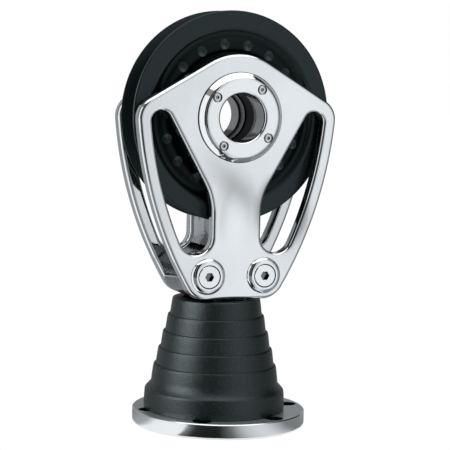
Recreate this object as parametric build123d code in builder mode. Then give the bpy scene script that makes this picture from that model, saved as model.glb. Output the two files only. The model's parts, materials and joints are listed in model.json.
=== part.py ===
from build123d import *
from math import asin, cos, pi, radians, sin, sqrt, tan
import os

os.makedirs("parts", exist_ok=True)

# Stand-up block: a sheave between two slotted side plates, on a toggle inside a stepped boot,
# on a round base. Millimetres. The origin is the centre of the base's underside, +Z is up,
# the sheave turns about the Y direction and the front plate looks along -Y.

# Frame and side plates
plate_gap = 32.4             # between the inner faces of the two side plates
plate_thickness = 10.0
apex_radius = 44.5           # top of the plate, round the hub
shoulder_slope = 30.0        # degrees that the top edges fall from level
shoulder_half_width = 76.3   # from the axis to the sharp corner under the shoulder fillet
shoulder_fillet = 16.0
side_bow_radius = 280.0      # the long bowed sides
bolt_half_spacing = 21.35
bolt_drop = 112.2            # bolts below the sheave axis
bolt_rise = 41.8             # bolts above the upper toggle pin
corner_radius = 17.6         # lower corners, round the bolts
corner_reach = 9.6           # from the bolt to the sharp corner under that fillet
bottom_hollow = 0.8          # the lower edge rises this much in the middle
plate_edge_round = 3.0

# Slots in the side plates
rail_width = 10.0            # metal left outside each slot
hub_land_radius = 44.7       # metal left round the hub
spine_half_width = 18.8
slot_top_rise = 4.1          # above the sheave axis
slot_floor_rise = 15.9       # above the bolts
slot_round_fit = 0.97        # of the slot's width that its two end fillets take up
spine_round = 45.0

# Hub
hub_bore = 34.0
hub_mouth_round = 2.2
hub_face_radius = 27.6
hub_foot_radius = 32.0
hub_proud = 5.3              # beyond the plate
hub_rim_height = 0.6         # straight edge at the foot of the flank
hub_flank_bulge = 0.1
hub_face_round = 4.3
hub_spigot_radius = 28.0
hub_screw_circle = 48.6
hub_screw_count = 4
hub_screw_turn = 54.6        # degrees
hub_screw_diameter = 4.0
hub_screw_depth = 8.0        # thread in the inner race
hub_screw_head = 6.8
hub_screw_head_height = 2.0
hub_screw_head_round = 1.6
hub_screw_recess = 2.2
hub_screw_socket = 2.5       # across flats
hub_screw_socket_depth = 1.2

# Bearing
race_bore = 37.0
race_waist_bore = 38.8       # wider middle of the race's bore
race_waist_width = 17.0
roller_track_radius = 28.0
roller_diameter = 7.9
roller_length = 18.0
roller_count = 16
bearing_gap = 0.15           # between a roller or ball and each track
cage_thickness = 3.4         # of the roller cage's bars, radially
cage_gap = 0.3
ball_diameter = 5.0
ball_count = 12
ball_circle_radius = 40.0
ball_height = 10.9           # ball centres from the middle plane
ball_cage_width = 5.6
ball_cage_thickness = 1.5
ring_inner_face = 12.0       # side ring's inner face from the middle plane
ring_radius = 44.5

# Sheave
sheave_diameter = 150.0
sheave_width = 26.8
rim_edge_round = 1.0
rim_lip = 1.9                # thickness of the flange at its edge
rope_groove_radius = 9.5
rope_groove_depth = 16.5
dish_rim_radius = 64.5       # where each dished face meets its flat outer band
dish_radius = 59.4           # deepest line of the dished face
dish_face = 10.0             # its height from the middle plane
dish_round = 4.5
web_face = 9.8               # sheave's face beside the balls
stud_ring_inner = 46.2       # raised ring with the drilled dimples
stud_ring_outer = 56.0
stud_ring_foot = 11.1
stud_ring_crest = 12.4
stud_ring_round = 3.0
dimple_count = 18
dimple_circle_radius = 51.5
dimple_diameter = 7.2
dimple_turn = 18.0           # degrees
dimple_depth = 1.3           # to the shoulder of the drill point
drill_point = 130.0          # degrees

# Head: bolts, ferrules and the block between the plates
bolt_diameter = 10.0
bolt_head_diameter = 16.2
bolt_head_height = 5.0
bolt_head_chamfer = 0.5
bolt_socket = 6.0            # across flats
bolt_socket_depth = 3.2
ferrule_radius = 13.0
ferrule_proud = 2.8
ferrule_flank = 3.4
ferrule_rim_height = 0.3
ferrule_bulge = 0.47
ferrule_spigot_radius = 9.2
ferrule_head_gap = 0.2
bolt_gap = 0.2
nut_thread_depth = 1.8       # of the bolt in its round nut
head_inset = 0.2             # the block stays this far inside the plates' corners
head_top_rise = 18.7         # above the bolts
head_top_half_width = 12.6
head_end_angle = 16.0        # degrees below level where the round end stops
head_top_bulge = 2.4

# Toggle
pin_diameter = 12.0
pin_fit = 0.02               # pin in its ears
pin_running = 0.05           # pin in the bushes
pin_head_radius = 8.5
pin_head_height = 2.5
pin_tail = 2.6               # pin end beyond the ear
groove_start = 0.5           # circlip groove beyond the ear
circlip_thickness = 1.0
circlip_radius = 8.6
circlip_groove_depth = 0.9
circlip_gap = 0.05
circlip_mouth = 6.0
lower_pin_height = 36.0
toggle_pitch = 32.0          # between the two pins
eye_radius = 13.0
eye_width = 17.4
side_play = 0.3              # between an eye and each ear
ear_thickness = 8.0
bush_wall = 1.5
push_fit = 0.02              # round pieces that are pressed into a hole

# Base and swivel
base_diameter = 125.0
base_thickness = 10.6
base_edge_chamfer = 0.6
fastener_land = 2.7          # metal left outside each recess
fastener_count = 6
fastener_turn = -5.0         # degrees, block against hole pattern
fastener_hole = 8.4
fastener_head_recess = 13.6
fastener_recess_depth = 5.6
shank_diameter = 22.0
swivel_running = 0.05
liner_wall = 1.95
liner_flange_radius = 20.0
liner_flange = 1.4
swivel_play = 0.2            # along the swivel axis
post_flange_radius = 20.0
post_flange = 5.0
fork_floor_rise = 2.0
nut_recess_diameter = 40.0
nut_recess_depth = 4.8
nut_diameter = 36.0
nut_thickness = 3.6
nut_slot = 4.0
nut_slot_count = 4
thread_diameter = 18.0
thread_gap = 0.05

# Boot
boot_shift = -3.6            # the soft boot sits this far to the left of the axis
boot_top_gap = 1.0           # between the boot and the side plates
boot_neck_radius = 31.7
boot_step_count = 5
boot_last_step_extra = 1.1   # the lowest step is this much taller than the others
boot_step_growth = 3.18      # radius gained with each step
boot_step_draft = 1.6        # radius gained down one step
boot_skirt_radius = 50.5
boot_skirt_draft = 0.7
boot_skirt_top = 25.0
boot_flare_height = 4.6
boot_wall = 3.4
boot_mouth_radius = 24.5
boot_lip_round = 1.1
boot_seat_gap = 0.3

# Worked out from the sizes above
plate_inner = plate_gap / 2
plate_outer = plate_inner + plate_thickness
upper_pin_height = lower_pin_height + toggle_pitch
bolt_height = upper_pin_height + bolt_rise
sheave_height = bolt_height + bolt_drop
plate_bottom = bolt_height - corner_radius
hub_face = plate_outer + hub_proud
hub_axis = Axis((0, 0, sheave_height), (0, 1, 0))
hub_section = Plane(origin=(0, 0, sheave_height), x_dir=(0, 1, 0), z_dir=(1, 0, 0))
front_hub_plane = Plane(origin=(0, 0, sheave_height), x_dir=(1, 0, 0), z_dir=(0, -1, 0))
roller_circle_radius = roller_track_radius + bearing_gap + roller_diameter / 2
sheave_bore_radius = roller_circle_radius + roller_diameter / 2 + bearing_gap
ear_inner = eye_width / 2 + side_play
fastener_circle = base_diameter - fastener_head_recess - 2 * fastener_land
post_seat = base_thickness + liner_flange + swivel_play
liner_radius = shank_diameter / 2 + swivel_running + liner_wall
bush_radius = pin_diameter / 2 + pin_running + bush_wall
bolt_places = [(-bolt_half_spacing, bolt_height), (bolt_half_spacing, bolt_height)]
same_point = 0.01            # corners nearer than this are one


def round_corners(sketch, corners):
    """Fillet the sketch's vertices at the given points, on both sides of its Y axis."""
    for corner, radius in corners:
        fillet([v for v in sketch.vertices()
                if abs(abs(v.X) - corner[0]) + abs(v.Y - corner[1]) < same_point], radius)


def bowed(start, end, bulge):
    """Arc from start to end whose middle lies this far to the left of the straight line."""
    start, end = Vector(*start), Vector(*end)
    along = (end - start).normalized()
    ThreePointArc(start, (start + end) / 2 + Vector(-along.Y, along.X) * bulge, end)


def hexagon(across_flats):
    """Hexagonal socket outline in the current sketch."""
    RegularPolygon(radius=across_flats / 2, side_count=6, major_radius=False)


def disc(plane, radius, height):
    """Add a disc that stands on a plane."""
    with BuildSketch(plane) as outline:
        Circle(radius)
    extrude(outline.sketch, amount=height)


def bore(plane, radius, depth):
    """Cut a round hole from a plane along its normal."""
    with BuildSketch(plane) as outline:
        Circle(radius)
    extrude(outline.sketch, amount=depth, mode=Mode.SUBTRACT)


# Base plate
with BuildPart() as base_plate:
    disc(Plane.XY, base_diameter / 2, base_thickness)
    chamfer(base_plate.edges(), base_edge_chamfer)
    bore(Plane.XY, liner_radius + push_fit, base_thickness)
    bore(Plane.XY, nut_recess_diameter / 2, nut_recess_depth)
    with Locations((0, 0, base_thickness)):
        with PolarLocations(fastener_circle / 2, fastener_count, start_angle=fastener_turn):
            CounterBoreHole(fastener_hole / 2, fastener_head_recess / 2, fastener_recess_depth)
base_plate.part.label = "base_plate"
export_step(base_plate.part, "parts/base_plate.step")

# Flanged liner that the swivel turns in
with BuildPart() as swivel_liner:
    disc(Plane.XY.offset(nut_recess_depth), liner_radius, base_thickness - nut_recess_depth)
    disc(Plane.XY.offset(base_thickness), liner_flange_radius, liner_flange)
    bore(Plane.XY.offset(nut_recess_depth), shank_diameter / 2 + swivel_running,
         base_thickness + liner_flange)
swivel_liner.part.label = "swivel_liner"
export_step(swivel_liner.part, "parts/swivel_liner.step")

# Swivel post with the lower fork
nut_bottom = nut_recess_depth - swivel_play - nut_thickness
with BuildPart() as swivel_post:
    disc(Plane.XY.offset(nut_bottom), thread_diameter / 2, post_seat - nut_bottom)
    disc(Plane.XY.offset(nut_recess_depth - swivel_play), shank_diameter / 2,
         post_seat - nut_recess_depth + swivel_play)
    disc(Plane.XY.offset(post_seat), post_flange_radius, post_flange)
    with BuildSketch(Plane.YZ):
        with Locations((0, lower_pin_height)):
            Circle(eye_radius)
        with Locations((0, (post_seat + lower_pin_height) / 2)):
            Rectangle(2 * eye_radius, lower_pin_height - post_seat)
    extrude(amount=ear_inner + ear_thickness, both=True)
    fork_floor = post_seat + post_flange + fork_floor_rise
    with BuildSketch(Plane.XY.offset(fork_floor)):
        Rectangle(2 * ear_inner, 4 * eye_radius)
    extrude(amount=lower_pin_height + 2 * eye_radius - fork_floor, mode=Mode.SUBTRACT)
    with BuildSketch(Plane.YZ):
        with Locations((0, lower_pin_height)):
            Circle(pin_diameter / 2 + pin_fit)
    extrude(amount=ear_inner + ear_thickness, both=True, mode=Mode.SUBTRACT)
swivel_post.part.label = "swivel_post"
export_step(swivel_post.part, "parts/swivel_post.step")

# Slotted round nut under the base
with BuildPart() as swivel_nut:
    disc(Plane.XY.offset(nut_bottom), nut_diameter / 2, nut_thickness)
    bore(Plane.XY.offset(nut_bottom), thread_diameter / 2 + thread_gap, nut_thickness)
    with BuildSketch(Plane.XY.offset(nut_bottom)):
        with PolarLocations(nut_diameter / 2, nut_slot_count):
            Rectangle(nut_slot, nut_slot)
    extrude(amount=nut_thickness, mode=Mode.SUBTRACT)
swivel_nut.part.label = "swivel_nut"
export_step(swivel_nut.part, "parts/swivel_nut.step")


def clevis_pin(middle, ear_outer):
    """Headed pin with a circlip groove; middle is a plane across the pin at its centre."""
    disc(middle.offset(-ear_outer - pin_tail), pin_diameter / 2, 2 * ear_outer + pin_tail)
    disc(middle.offset(ear_outer), pin_head_radius, pin_head_height)
    with BuildSketch(middle.offset(-ear_outer - groove_start - circlip_thickness)) as groove:
        Circle(pin_diameter / 2 + pin_fit)
        Circle(pin_diameter / 2 - circlip_groove_depth, mode=Mode.SUBTRACT)
    extrude(groove.sketch, amount=circlip_thickness, mode=Mode.SUBTRACT)


def circlip(middle, ear_outer):
    """Open ring that snaps into the pin's groove."""
    groove_side = -ear_outer - groove_start - circlip_thickness
    with BuildSketch(middle.offset(groove_side + circlip_gap)) as ring:
        Circle(circlip_radius)
        Circle(pin_diameter / 2 - circlip_groove_depth + circlip_gap, mode=Mode.SUBTRACT)
        with Locations((0, circlip_radius)):
            Rectangle(circlip_mouth, circlip_radius * 2, mode=Mode.SUBTRACT)
    extrude(ring.sketch, amount=circlip_thickness - 2 * circlip_gap)


# Lower pin, along X, and its circlip
lower_pin_plane = Plane(origin=(0, 0, lower_pin_height), x_dir=(0, 1, 0), z_dir=(1, 0, 0))
lower_ear_outer = ear_inner + ear_thickness
with BuildPart() as lower_pin:
    clevis_pin(lower_pin_plane, lower_ear_outer)
lower_pin.part.label = "lower_pin"
export_step(lower_pin.part, "parts/lower_pin.step")

with BuildPart() as lower_circlip:
    circlip(lower_pin_plane, lower_ear_outer)
lower_circlip.part.label = "lower_circlip"
export_step(lower_circlip.part, "parts/lower_circlip.step")

# Cross link: two eyes at right angles
upper_pin_plane = Plane(origin=(0, 0, upper_pin_height), x_dir=(1, 0, 0), z_dir=(0, -1, 0))
with BuildPart() as toggle_link:
    for eye_plane in (lower_pin_plane, upper_pin_plane):
        with BuildSketch(eye_plane):
            Circle(eye_radius)
        extrude(amount=eye_width / 2, both=True)
    with BuildSketch(Plane.XY.offset(lower_pin_height)):
        Rectangle(eye_width, eye_width)
    extrude(amount=toggle_pitch)
    for eye_plane in (lower_pin_plane, upper_pin_plane):
        with BuildSketch(eye_plane):
            Circle(bush_radius + push_fit)
        extrude(amount=eye_width / 2, both=True, mode=Mode.SUBTRACT)
toggle_link.part.label = "toggle_link"
export_step(toggle_link.part, "parts/toggle_link.step")


def eye_bush(eye_plane):
    """Plain bush that lines one eye of the link."""
    with BuildSketch(eye_plane) as ring:
        Circle(bush_radius)
        Circle(pin_diameter / 2 + pin_running, mode=Mode.SUBTRACT)
    extrude(ring.sketch, amount=eye_width / 2, both=True)


with BuildPart() as lower_bush:
    eye_bush(lower_pin_plane)
lower_bush.part.label = "lower_bush"
export_step(lower_bush.part, "parts/lower_bush.step")

with BuildPart() as upper_bush:
    eye_bush(upper_pin_plane)
upper_bush.part.label = "upper_bush"
export_step(upper_bush.part, "parts/upper_bush.step")

# Upper pin, along Y, and its circlip
upper_ear_outer = plate_inner
with BuildPart() as upper_pin:
    clevis_pin(upper_pin_plane, upper_ear_outer)
upper_pin.part.label = "upper_pin"
export_step(upper_pin.part, "parts/upper_pin.step")

with BuildPart() as upper_circlip:
    circlip(upper_pin_plane, upper_ear_outer)
upper_circlip.part.label = "upper_circlip"
export_step(upper_circlip.part, "parts/upper_circlip.step")

# Head block between the plates, with the upper fork below it
head_end_radius = corner_radius - head_inset
head_bottom = bolt_height - head_end_radius
end_angle = radians(head_end_angle)
end_point = Vector(bolt_half_spacing + head_end_radius * cos(end_angle),
                   bolt_height - head_end_radius * sin(end_angle))
top_point = Vector(head_top_half_width, bolt_height + head_top_rise)
corner_middle = (bolt_half_spacing + head_end_radius * sin(pi / 4),
                 bolt_height - head_end_radius * cos(pi / 4))
with BuildPart() as head_block:
    with BuildSketch(Plane.XZ):
        with BuildLine():
            Line((0, head_bottom), (bolt_half_spacing, head_bottom))
            ThreePointArc((bolt_half_spacing, head_bottom), corner_middle, end_point)
            bowed(end_point, top_point, -head_top_bulge)
            Line(top_point, (0, top_point.Y))
            mirror(about=Plane.YZ)
        make_face()
    extrude(amount=plate_inner, both=True)
    with BuildSketch(Plane.XZ):
        with Locations((0, upper_pin_height)):
            Circle(eye_radius)
        with Locations((0, (upper_pin_height + head_bottom) / 2)):
            Rectangle(2 * eye_radius, head_bottom - upper_pin_height)
    extrude(amount=plate_inner, both=True)
    with BuildSketch(Plane.XY.offset(upper_pin_height - 2 * eye_radius)):
        Rectangle(4 * eye_radius, 2 * ear_inner)
    extrude(amount=head_bottom - upper_pin_height + 2 * eye_radius, mode=Mode.SUBTRACT)
    with BuildSketch(Plane.XZ):
        with Locations(*bolt_places):
            Circle(bolt_diameter / 2 + bolt_gap)
        with Locations((0, upper_pin_height)):
            Circle(pin_diameter / 2 + pin_fit)
    extrude(amount=plate_inner, both=True, mode=Mode.SUBTRACT)
head_block.part.label = "head_block"
export_step(head_block.part, "parts/head_block.step")

# Side plates
lean = radians(shoulder_slope)
apex_tangent = (apex_radius * sin(lean), sheave_height + apex_radius * cos(lean))
shoulder = Vector(shoulder_half_width,
                  sheave_height + (apex_radius - shoulder_half_width * sin(lean)) / cos(lean))
foot = Vector(bolt_half_spacing + corner_reach, plate_bottom)
half_chord = (shoulder - foot).length / 2
bow_inward = Vector(foot.Y - shoulder.Y, shoulder.X - foot.X).normalized()
bow_centre = (shoulder + foot) / 2 + bow_inward * sqrt(side_bow_radius ** 2 - half_chord ** 2)
bow_middle = bow_centre - bow_inward * side_bow_radius
slot_radius = side_bow_radius - rail_width
slot_top = sheave_height + slot_top_rise
slot_floor = bolt_height + slot_floor_rise
slot_middle = bow_centre - bow_inward * slot_radius
knee = sheave_height - (hub_land_radius - spine_half_width * cos(lean)) / sin(lean)


def slot_edge(height):
    """Point of the slot's outer edge at a height."""
    return bow_centre.X + sqrt(slot_radius ** 2 - (height - bow_centre.Y) ** 2), height


def slot_round(height, inner_point, inner_share, turn):
    """Radius of the two fillets at one end of the slot, from its width there."""
    bow_lean = asin((bow_centre.Y - height) / slot_radius)
    outer_share = tan(pi / 4 + turn * bow_lean / 2)
    return slot_round_fit * (slot_edge(height)[0] - inner_point) / (inner_share + outer_share)


slot_top_inner = (hub_land_radius + slot_top_rise * sin(lean)) / cos(lean)
slot_top_round = slot_round(slot_top, slot_top_inner, tan(lean), 1)
slot_floor_round = slot_round(slot_floor, spine_half_width, 1, -1)
slot_corners = [
    ((slot_top_inner, slot_top), slot_top_round),
    (slot_edge(slot_top), slot_top_round),
    (slot_edge(slot_floor), slot_floor_round),
    ((spine_half_width, slot_floor), slot_floor_round),
    ((spine_half_width, knee), spine_round),
]

with BuildPart() as front_plate:
    with BuildSketch(Plane.XZ.offset(plate_inner)) as plate_face:
        with BuildLine():
            ThreePointArc((foot.X, foot.Y), (0, plate_bottom + bottom_hollow),
                          (-foot.X, foot.Y))
            ThreePointArc(foot, bow_middle, shoulder)
            Line(shoulder, apex_tangent)
            ThreePointArc(apex_tangent, (0, sheave_height + apex_radius),
                          (-apex_tangent[0], apex_tangent[1]))
            Line((-apex_tangent[0], apex_tangent[1]), (-shoulder.X, shoulder.Y))
            ThreePointArc((-shoulder.X, shoulder.Y), (-bow_middle.X, bow_middle.Y),
                          (-foot.X, foot.Y))
        make_face()
        round_corners(plate_face, [((shoulder.X, shoulder.Y), shoulder_fillet),
                                   ((foot.X, foot.Y), corner_radius)])
        with BuildSketch(mode=Mode.PRIVATE) as slot:
            with BuildLine():
                ThreePointArc(slot_corners[1][0], slot_middle, slot_corners[2][0])
                Polyline(slot_corners[2][0], slot_corners[3][0], slot_corners[4][0],
                         slot_corners[0][0], slot_corners[1][0])
            make_face()
            round_corners(slot, slot_corners)
        add(slot.sketch, mode=Mode.SUBTRACT)
        add(mirror(slot.sketch, about=Plane.YZ, mode=Mode.PRIVATE), mode=Mode.SUBTRACT)
    extrude(amount=plate_thickness)
    for plate_side in (0, -1):
        fillet(front_plate.faces().sort_by(Axis.Y)[plate_side].edges(), plate_edge_round)
    with BuildSketch(Plane.XZ.offset(plate_inner)):
        with Locations((0, sheave_height)):
            Circle(hub_spigot_radius + push_fit)
        with Locations(*bolt_places):
            Circle(ferrule_spigot_radius + push_fit)
    extrude(amount=plate_thickness, mode=Mode.SUBTRACT)
front_plate.part.label = "front_plate"
export_step(front_plate.part, "parts/front_plate.step")

with BuildPart() as rear_plate:
    mirror(front_plate.part, about=Plane.XZ)
rear_plate.part.label = "rear_plate"
export_step(rear_plate.part, "parts/rear_plate.step")

# Hollow hub caps
with BuildPart() as front_hub:
    with BuildSketch(hub_section) as hub_outline:
        with BuildLine():
            Polyline((-plate_outer - hub_rim_height, hub_foot_radius),
                     (-plate_outer, hub_foot_radius), (-plate_outer, hub_spigot_radius),
                     (-plate_inner, hub_spigot_radius), (-plate_inner, hub_bore / 2),
                     (-hub_face, hub_bore / 2), (-hub_face, hub_face_radius))
            bowed((-hub_face, hub_face_radius),
                  (-plate_outer - hub_rim_height, hub_foot_radius), hub_flank_bulge)
        make_face()
        round_corners(hub_outline, [((hub_face, hub_face_radius), hub_face_round),
                                    ((hub_face, hub_bore / 2), hub_mouth_round)])
    revolve(axis=hub_axis)
    with BuildSketch(front_hub_plane.offset(hub_face - hub_screw_recess)):
        with PolarLocations(hub_screw_circle / 2, hub_screw_count, start_angle=hub_screw_turn):
            Circle(hub_screw_head / 2 + bolt_gap)
    extrude(amount=hub_screw_recess, mode=Mode.SUBTRACT)
    with BuildSketch(front_hub_plane.offset(plate_inner)):
        with PolarLocations(hub_screw_circle / 2, hub_screw_count, start_angle=hub_screw_turn):
            Circle(hub_screw_diameter / 2 + thread_gap)
    extrude(amount=hub_face - plate_inner, mode=Mode.SUBTRACT)
front_hub.part.label = "front_hub"
export_step(front_hub.part, "parts/front_hub.step")

with BuildPart() as rear_hub:
    mirror(front_hub.part, about=Plane.XZ)
rear_hub.part.label = "rear_hub"
export_step(rear_hub.part, "parts/rear_hub.step")

# Screws that clamp the hub caps to the inner race
screw_seat = hub_face - hub_screw_recess
with BuildPart() as front_hub_screws:
    with BuildSketch(front_hub_plane.offset(screw_seat)):
        with PolarLocations(hub_screw_circle / 2, hub_screw_count, start_angle=hub_screw_turn):
            Circle(hub_screw_head / 2)
    extrude(amount=hub_screw_head_height)
    fillet(front_hub_screws.edges().group_by(Axis.Y)[0], hub_screw_head_round)
    with BuildSketch(front_hub_plane.offset(plate_inner - hub_screw_depth)):
        with PolarLocations(hub_screw_circle / 2, hub_screw_count, start_angle=hub_screw_turn):
            Circle(hub_screw_diameter / 2)
    extrude(amount=screw_seat - plate_inner + hub_screw_depth)
    socket_floor = screw_seat + hub_screw_head_height - hub_screw_socket_depth
    with BuildSketch(front_hub_plane.offset(socket_floor)):
        with PolarLocations(hub_screw_circle / 2, hub_screw_count, start_angle=hub_screw_turn):
            hexagon(hub_screw_socket)
    extrude(amount=hub_screw_socket_depth, mode=Mode.SUBTRACT)
front_hub_screws.part.label = "front_hub_screws"
export_step(front_hub_screws.part, "parts/front_hub_screws.step")

with BuildPart() as rear_hub_screws:
    mirror(front_hub_screws.part, about=Plane.XZ)
rear_hub_screws.part.label = "rear_hub_screws"
export_step(rear_hub_screws.part, "parts/rear_hub_screws.step")

# Inner race
with BuildPart() as inner_race:
    with BuildSketch(hub_section):
        with BuildLine():
            Polyline((0, roller_track_radius), (plate_inner, roller_track_radius),
                     (plate_inner, race_bore / 2), (race_waist_width / 2, race_bore / 2),
                     (race_waist_width / 2, race_waist_bore / 2), (0, race_waist_bore / 2))
            mirror(about=Plane.YZ)
        make_face()
    revolve(axis=hub_axis)
    for race_end in (front_hub_plane.offset(plate_inner), front_hub_plane.offset(-plate_inner)):
        with BuildSketch(race_end):
            with PolarLocations(hub_screw_circle / 2, hub_screw_count,
                                start_angle=hub_screw_turn):
                Circle(hub_screw_diameter / 2 + thread_gap)
        inward = -1 if race_end.origin.Y < 0 else 1
        extrude(amount=inward * (hub_screw_depth + bolt_gap), mode=Mode.SUBTRACT)
inner_race.part.label = "inner_race"
export_step(inner_race.part, "parts/inner_race.step")

# Side rings that carry the side-load balls
ball_track = ball_diameter / 2 + bearing_gap
ring_bore_radius = roller_track_radius + push_fit
with BuildPart() as front_side_ring:
    with BuildSketch(hub_section):
        with Locations((-(plate_inner + ring_inner_face) / 2, (ring_radius + ring_bore_radius) / 2)):
            Rectangle(plate_inner - ring_inner_face, ring_radius - ring_bore_radius)
        with Locations((-ball_height, ball_circle_radius)):
            Circle(ball_track, mode=Mode.SUBTRACT)
    revolve(axis=hub_axis)
front_side_ring.part.label = "front_side_ring"
export_step(front_side_ring.part, "parts/front_side_ring.step")

with BuildPart() as rear_side_ring:
    mirror(front_side_ring.part, about=Plane.XZ)
rear_side_ring.part.label = "rear_side_ring"
export_step(rear_side_ring.part, "parts/rear_side_ring.step")

# Side-load balls and their cages
with BuildPart() as front_balls:
    with Locations(front_hub_plane.offset(ball_height)):
        with PolarLocations(ball_circle_radius, ball_count):
            Sphere(ball_diameter / 2)
front_balls.part.label = "front_balls"
export_step(front_balls.part, "parts/front_balls.step")

with BuildPart() as rear_balls:
    mirror(front_balls.part, about=Plane.XZ)
rear_balls.part.label = "rear_balls"
export_step(rear_balls.part, "parts/rear_balls.step")

with BuildPart() as front_ball_cage:
    with BuildSketch(front_hub_plane.offset(ball_height - ball_cage_thickness / 2)):
        Circle(ball_circle_radius + ball_cage_width / 2)
        Circle(ball_circle_radius - ball_cage_width / 2, mode=Mode.SUBTRACT)
        with PolarLocations(ball_circle_radius, ball_count):
            Circle(ball_track, mode=Mode.SUBTRACT)
    extrude(amount=ball_cage_thickness)
front_ball_cage.part.label = "front_ball_cage"
export_step(front_ball_cage.part, "parts/front_ball_cage.step")

with BuildPart() as rear_ball_cage:
    mirror(front_ball_cage.part, about=Plane.XZ)
rear_ball_cage.part.label = "rear_ball_cage"
export_step(rear_ball_cage.part, "parts/rear_ball_cage.step")

# Rollers and their cage
with BuildPart() as rollers:
    with BuildSketch(front_hub_plane):
        with PolarLocations(roller_circle_radius, roller_count):
            Circle(roller_diameter / 2)
    extrude(amount=roller_length / 2, both=True)
rollers.part.label = "rollers"
export_step(rollers.part, "parts/rollers.step")

pocket_half_length = roller_length / 2 + cage_gap
cage_half_width = ring_inner_face - cage_gap
with BuildPart() as roller_cage:
    with BuildSketch(hub_section):
        for end_side in (-1, 1):
            with Locations((end_side * (pocket_half_length + cage_half_width) / 2,
                            roller_circle_radius)):
                Rectangle(cage_half_width - pocket_half_length,
                          sheave_bore_radius - roller_track_radius - 2 * cage_gap)
        with Locations((0, roller_circle_radius)):
            Rectangle(2 * pocket_half_length, cage_thickness)
    revolve(axis=hub_axis)
    with BuildSketch(front_hub_plane.offset(-pocket_half_length)):
        with PolarLocations(roller_circle_radius, roller_count):
            Rectangle(roller_diameter, roller_diameter + 2 * bearing_gap)
    extrude(amount=2 * pocket_half_length, mode=Mode.SUBTRACT)
roller_cage.part.label = "roller_cage"
export_step(roller_cage.part, "parts/roller_cage.step")

# Sheave
sheave_radius = sheave_diameter / 2
rim_face = sheave_width / 2
groove_floor = sheave_radius - rope_groove_depth
groove_centre = groove_floor + rope_groove_radius
rim_foot = (rim_face, dish_rim_radius)
with BuildPart() as sheave:
    with BuildSketch(hub_section) as sheave_outline:
        with BuildLine():
            Polyline((0, sheave_bore_radius), (web_face, sheave_bore_radius),
                     (web_face, stud_ring_inner - 2 * cage_gap),
                     (stud_ring_foot, stud_ring_inner))
            ThreePointArc((stud_ring_foot, stud_ring_inner),
                          (stud_ring_crest, (stud_ring_inner + stud_ring_outer) / 2),
                          (stud_ring_foot, stud_ring_outer))
            Line((stud_ring_foot, stud_ring_outer), (dish_face, dish_radius))
            TangentArc(rim_foot, (dish_face, dish_radius), tangent=(0, -1))
            Line(rim_foot, (rim_face, sheave_radius - rim_edge_round))
            TangentArc((rim_face, sheave_radius - rim_edge_round),
                       (rim_face - rim_edge_round, sheave_radius), tangent=(0, 1))
            Polyline((rim_face - rim_edge_round, sheave_radius),
                     (rim_face - rim_lip, sheave_radius), (rope_groove_radius, groove_centre))
            TangentArc((rope_groove_radius, groove_centre), (0, groove_floor), tangent=(0, -1))
            mirror(about=Plane.YZ)
        make_face()
        round_corners(sheave_outline,
                      [((dish_face, dish_radius), dish_round),
                       ((stud_ring_foot, stud_ring_outer), stud_ring_round)])
    revolve(axis=hub_axis)
    with BuildSketch(hub_section):
        for side in (-1, 1):
            with Locations((side * ball_height, ball_circle_radius)):
                Circle(ball_track)
    revolve(axis=hub_axis, mode=Mode.SUBTRACT)
    dimple_floor = stud_ring_crest - dimple_depth
    cone_height = dimple_diameter / 2 / tan(radians(drill_point / 2))
    for face_plane in (front_hub_plane, -front_hub_plane):
        with Locations(face_plane.offset(stud_ring_crest)):
            with PolarLocations(dimple_circle_radius, dimple_count, start_angle=dimple_turn):
                Cylinder(dimple_diameter / 2, dimple_depth,
                         align=(Align.CENTER, Align.CENTER, Align.MAX), mode=Mode.SUBTRACT)
        with Locations(face_plane.offset(dimple_floor)):
            with PolarLocations(dimple_circle_radius, dimple_count, start_angle=dimple_turn):
                Cone(0, dimple_diameter / 2, cone_height,
                     align=(Align.CENTER, Align.CENTER, Align.MAX), mode=Mode.SUBTRACT)
sheave.part.label = "sheave"
export_step(sheave.part, "parts/sheave.step")

# Ferrules under the bolt heads and nuts
ferrule_face = plate_outer + ferrule_proud
ferrule_floor = ferrule_face - bolt_head_height
recess_radius = bolt_head_diameter / 2 + ferrule_head_gap
with BuildPart() as ferrules:
    for side in (-1, 1):
        for bolt_x, bolt_z in bolt_places:
            bolt_section = Plane(origin=(bolt_x, 0, bolt_z), x_dir=(0, side, 0),
                                 z_dir=(side, 0, 0))
            with BuildSketch(bolt_section):
                with BuildLine():
                    Polyline((plate_inner, bolt_diameter / 2 + bolt_gap),
                             (ferrule_floor, bolt_diameter / 2 + bolt_gap),
                             (ferrule_floor, recess_radius), (ferrule_face, recess_radius),
                             (ferrule_face, ferrule_radius - ferrule_flank))
                    bowed((plate_outer + ferrule_rim_height, ferrule_radius),
                          (ferrule_face, ferrule_radius - ferrule_flank), ferrule_bulge)
                    Polyline((plate_outer + ferrule_rim_height, ferrule_radius),
                             (plate_outer, ferrule_radius),
                             (plate_outer, ferrule_spigot_radius),
                             (plate_inner, ferrule_spigot_radius),
                             (plate_inner, bolt_diameter / 2 + bolt_gap))
                make_face()
            revolve(axis=Axis((bolt_x, 0, bolt_z), (0, 1, 0)))
ferrules.part.label = "ferrules"
export_step(ferrules.part, "parts/ferrules.step")

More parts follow.
